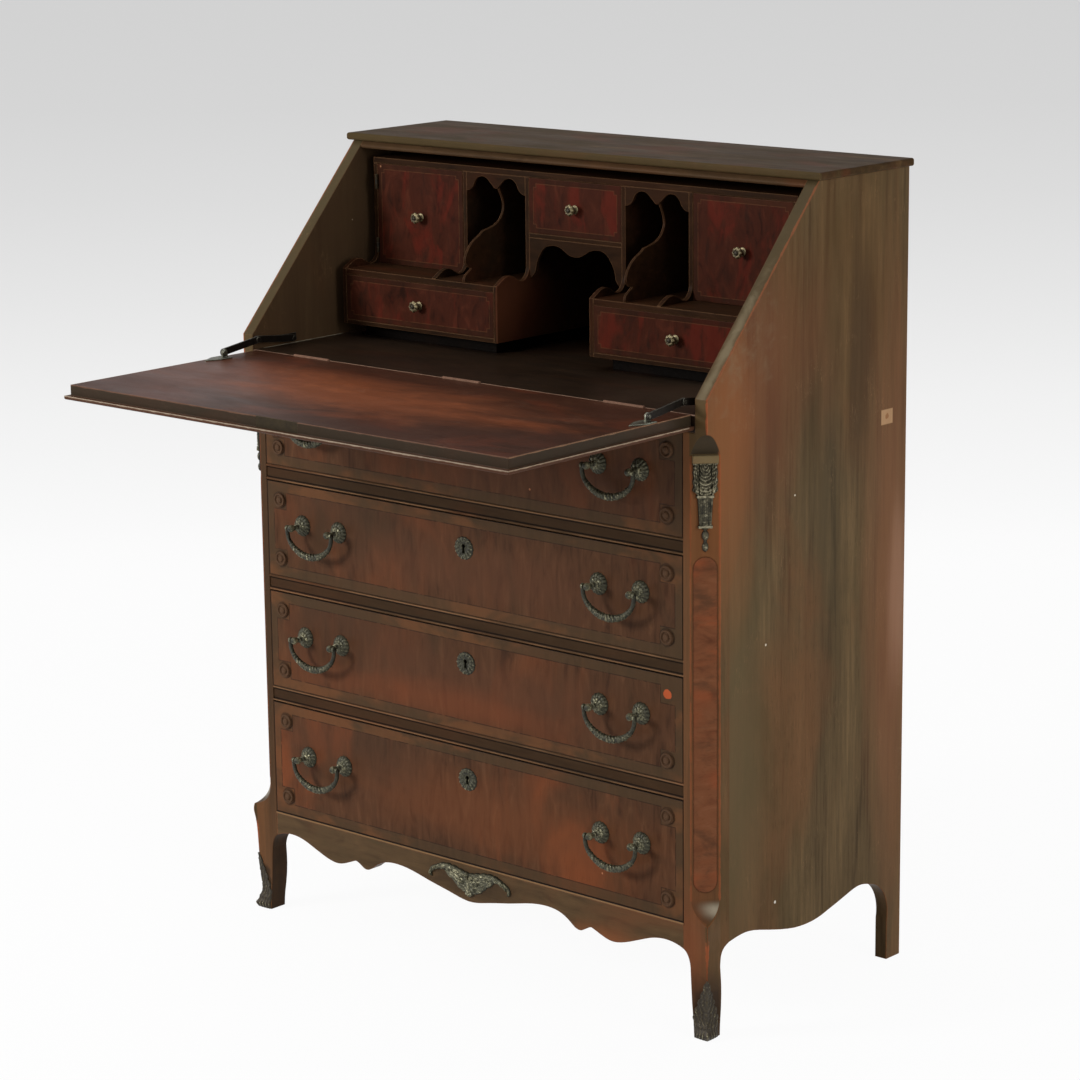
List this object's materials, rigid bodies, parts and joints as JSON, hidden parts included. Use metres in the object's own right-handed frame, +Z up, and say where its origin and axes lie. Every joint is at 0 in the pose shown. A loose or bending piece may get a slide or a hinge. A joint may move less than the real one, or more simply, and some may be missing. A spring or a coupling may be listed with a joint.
{
  "type": "slant-front desk",
  "caption": "Slant-front writing desk on short cabriole feet: fall lid on elbow stays, long drawers with bail handles, and a fitted gallery of pigeonholes and small drawers.",
  "frame": {"origin": "on the floor, at the middle of the bounding box of the desk with its lid open", "axes": "+X to the desk's right as seen from its front, +Y to its back, +Z up"},
  "size_m": [0.77, 0.7082, 1.01],
  "materials": {
    "case_wood": "worn shellac over walnut",
    "lid_wood": "worn shellac",
    "drawer_wood": "worn shellac over veneer",
    "gallery_wood": "dark shellac",
    "inner_wood": "raw secondary wood",
    "panel_veneer": "polished red veneer",
    "bronze": "dark patina",
    "knob_brass": "aged",
    "lock_metal": "aged",
    "stay_metal": "tarnished"
  },
  "bodies": {
    "case": {"back_panel": "inner_wood", "bottom_board": "inner_wood", "cant_panels": "panel_veneer", "case_hinge_leaves": "lock_metal", "corner_posts": "case_wood", "drawer_rails": "case_wood", "drawer_runners": "inner_wood", "foot_sabots": "bronze", "front_apron": "case_wood", "front_mounts": "bronze", "gallery_back": "gallery_wood", "gallery_dividers": "gallery_wood", "gallery_door_hinge_leaves": "lock_metal", "gallery_partitions": "gallery_wood", "gallery_shelves": "gallery_wood", "gallery_valances": "gallery_wood", "left_side": "case_wood", "right_side": "case_wood", "top_board": "case_wood", "top_rail": "case_wood", "wall_stay_plates": "stay_metal", "writing_bed": "lid_wood"},
    "lid": {"lid_board": "lid_wood", "lid_hinge_leaves": "lock_metal", "lid_lock": "lock_metal", "lid_stay_plates": "stay_metal"},
    "stay_front_link_left": {"stay_front_link_left": "stay_metal"},
    "stay_rear_link_left": {"stay_rear_link_left": "stay_metal"},
    "stay_front_link_right": {"stay_front_link_right": "stay_metal"},
    "stay_rear_link_right": {"stay_rear_link_right": "stay_metal"},
    "drawer_1": {"drawer_1_front": "drawer_wood", "drawer_1_box": "inner_wood", "drawer_1_hardware": "bronze"},
    "drawer_1_bail_left": {"drawer_1_bail_left": "bronze"},
    "drawer_1_bail_right": {"drawer_1_bail_right": "bronze"},
    "drawer_2": {"drawer_2_front": "drawer_wood", "drawer_2_box": "inner_wood", "drawer_2_hardware": "bronze"},
    "drawer_2_bail_left": {"drawer_2_bail_left": "bronze"},
    "drawer_2_bail_right": {"drawer_2_bail_right": "bronze"},
    "drawer_3": {"drawer_3_front": "drawer_wood", "drawer_3_box": "inner_wood", "drawer_3_hardware": "bronze"},
    "drawer_3_bail_left": {"drawer_3_bail_left": "bronze"},
    "drawer_3_bail_right": {"drawer_3_bail_right": "bronze"},
    "drawer_4": {"drawer_4_front": "drawer_wood", "drawer_4_box": "inner_wood", "drawer_4_hardware": "bronze"},
    "drawer_4_bail_left": {"drawer_4_bail_left": "bronze"},
    "drawer_4_bail_right": {"drawer_4_bail_right": "bronze"},
    "gallery_drawer_lower_left": {"gallery_drawer_lower_left": "gallery_wood", "gallery_knob_lower_left": "knob_brass"},
    "gallery_drawer_lower_right": {"gallery_drawer_lower_right": "gallery_wood", "gallery_knob_lower_right": "knob_brass"},
    "gallery_drawer_centre": {"gallery_drawer_centre": "gallery_wood", "gallery_knob_centre": "knob_brass"},
    "gallery_door_left": {"gallery_door_left": "gallery_wood", "gallery_door_left_hardware": "knob_brass"},
    "gallery_door_right": {"gallery_door_right": "gallery_wood", "gallery_door_right_hardware": "knob_brass"}
  },
  "joints": [
    {"name": "lid_hinge", "type": "hinge", "parent": "case", "child": "lid", "pos_m": [0, -0.03693, 0.752], "axis": [-1, 0, 0], "range_deg": [0, 132.4]},
    {"name": "stay_front_pivot_left", "type": "hinge", "parent": "lid", "child": "stay_front_link_left", "pos_m": [-0.349, -0.10193, 0.759], "axis": [-1, 0, 0], "range_deg": [-132.4, 0]},
    {"name": "stay_rear_pivot_left", "type": "hinge", "parent": "case", "child": "stay_rear_link_left", "pos_m": [-0.349, 0.02407, 0.76], "axis": [-1, 0, 0], "range_deg": [0, 132.4]},
    {"name": "stay_front_pivot_right", "type": "hinge", "parent": "lid", "child": "stay_front_link_right", "pos_m": [0.349, -0.10193, 0.759], "axis": [-1, 0, 0], "range_deg": [-132.4, 0]},
    {"name": "stay_rear_pivot_right", "type": "hinge", "parent": "case", "child": "stay_rear_link_right", "pos_m": [0.349, 0.02407, 0.76], "axis": [-1, 0, 0], "range_deg": [0, 132.4]},
    {"name": "drawer_1_slide", "type": "slide", "parent": "case", "child": "drawer_1", "axis": [0, -1, 0], "range_m": [0, 0.26]},
    {"name": "drawer_1_bail_left_swing", "type": "hinge", "parent": "drawer_1", "child": "drawer_1_bail_left", "pos_m": [-0.248, -0.05793, 0.67848], "axis": [-1, 0, 0], "range_deg": [-30, 100]},
    {"name": "drawer_1_bail_right_swing", "type": "hinge", "parent": "drawer_1", "child": "drawer_1_bail_right", "pos_m": [0.248, -0.05793, 0.67848], "axis": [-1, 0, 0], "range_deg": [-30, 100]},
    {"name": "drawer_2_slide", "type": "slide", "parent": "case", "child": "drawer_2", "axis": [0, -1, 0], "range_m": [0, 0.26]},
    {"name": "drawer_2_bail_left_swing", "type": "hinge", "parent": "drawer_2", "child": "drawer_2_bail_left", "pos_m": [-0.248, -0.05793, 0.53275], "axis": [-1, 0, 0], "range_deg": [-30, 100]},
    {"name": "drawer_2_bail_right_swing", "type": "hinge", "parent": "drawer_2", "child": "drawer_2_bail_right", "pos_m": [0.248, -0.05793, 0.53275], "axis": [-1, 0, 0], "range_deg": [-30, 100]},
    {"name": "drawer_3_slide", "type": "slide", "parent": "case", "child": "drawer_3", "axis": [0, -1, 0], "range_m": [0, 0.26]},
    {"name": "drawer_3_bail_left_swing", "type": "hinge", "parent": "drawer_3", "child": "drawer_3_bail_left", "pos_m": [-0.248, -0.05793, 0.38527], "axis": [-1, 0, 0], "range_deg": [-30, 100]},
    {"name": "drawer_3_bail_right_swing", "type": "hinge", "parent": "drawer_3", "child": "drawer_3_bail_right", "pos_m": [0.248, -0.05793, 0.38527], "axis": [-1, 0, 0], "range_deg": [-30, 100]},
    {"name": "drawer_4_slide", "type": "slide", "parent": "case", "child": "drawer_4", "axis": [0, -1, 0], "range_m": [0, 0.26]},
    {"name": "drawer_4_bail_left_swing", "type": "hinge", "parent": "drawer_4", "child": "drawer_4_bail_left", "pos_m": [-0.248, -0.05793, 0.22516], "axis": [-1, 0, 0], "range_deg": [-30, 100]},
    {"name": "drawer_4_bail_right_swing", "type": "hinge", "parent": "drawer_4", "child": "drawer_4_bail_right", "pos_m": [0.248, -0.05793, 0.22516], "axis": [-1, 0, 0], "range_deg": [-30, 100]},
    {"name": "gallery_drawer_lower_left_slide", "type": "slide", "parent": "case", "child": "gallery_drawer_lower_left", "axis": [0, 1, 0], "range_m": [-0.15, 0]},
    {"name": "gallery_drawer_lower_right_slide", "type": "slide", "parent": "case", "child": "gallery_drawer_lower_right", "axis": [0, 1, 0], "range_m": [-0.15, 0]},
    {"name": "gallery_drawer_centre_slide", "type": "slide", "parent": "case", "child": "gallery_drawer_centre", "axis": [0, 1, 0], "range_m": [-0.11, 0]},
    {"name": "gallery_door_left_hinge", "type": "hinge", "parent": "case", "child": "gallery_door_left", "pos_m": [-0.33975, 0.17297, 0.9064], "axis": [0, 0, 1], "range_deg": [-85, 0]},
    {"name": "gallery_door_right_hinge", "type": "hinge", "parent": "case", "child": "gallery_door_right", "pos_m": [0.33975, 0.17297, 0.9064], "axis": [0, 0, -1], "range_deg": [-85, 0]}
  ],
  "couplings": [
    {"joint": "stay_front_pivot_left", "follows": "lid_hinge", "ratio": -1},
    {"joint": "stay_rear_pivot_left", "follows": "lid_hinge", "ratio": 1},
    {"joint": "stay_front_pivot_right", "follows": "lid_hinge", "ratio": -1},
    {"joint": "stay_rear_pivot_right", "follows": "lid_hinge", "ratio": 1}
  ]
}
